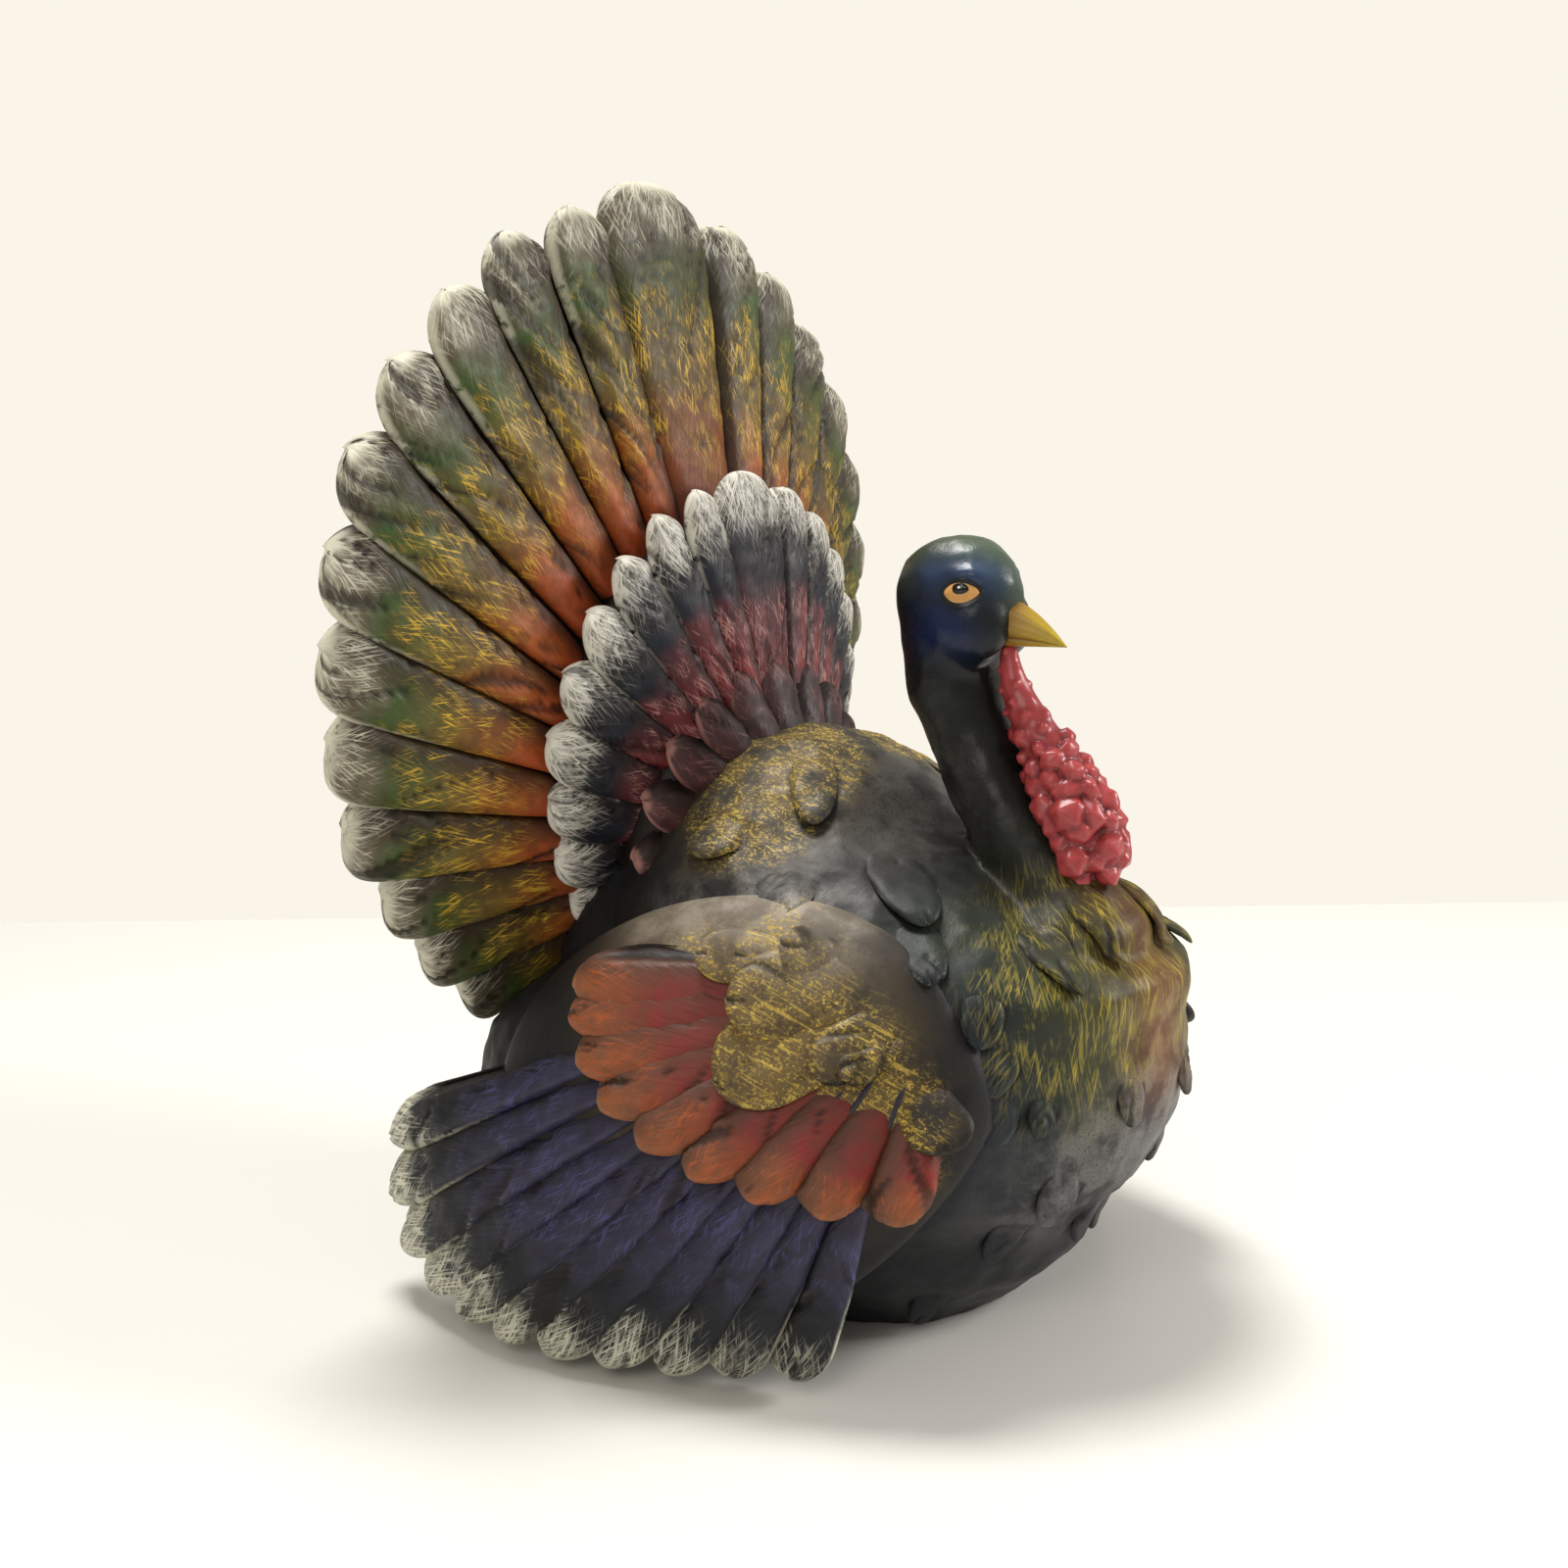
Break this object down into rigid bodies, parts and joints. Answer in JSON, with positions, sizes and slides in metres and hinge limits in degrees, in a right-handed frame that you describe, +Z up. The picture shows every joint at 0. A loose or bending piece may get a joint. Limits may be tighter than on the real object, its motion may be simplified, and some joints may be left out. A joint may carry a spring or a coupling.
{
  "type": "resin turkey figurine",
  "caption": "Standing turkey ornament in cast resin, with a fanned tail, folded wings, a raised neck and a hanging wattle, on a flat underside.",
  "frame": {"origin": "centre of the flat underside that the figurine stands on", "axes": "+Z up, -Y the way the bird faces, X across the bird"},
  "size_m": [0.2051, 0.1616, 0.2547],
  "materials": {
    "painted_resin": "hand-painted cast polyresin: dark wash in the grooves, dry-brushed colour on the ridges, satin"
  },
  "bodies": {
    "root": {"turkey": "painted_resin"}
  },
  "joints": []
}
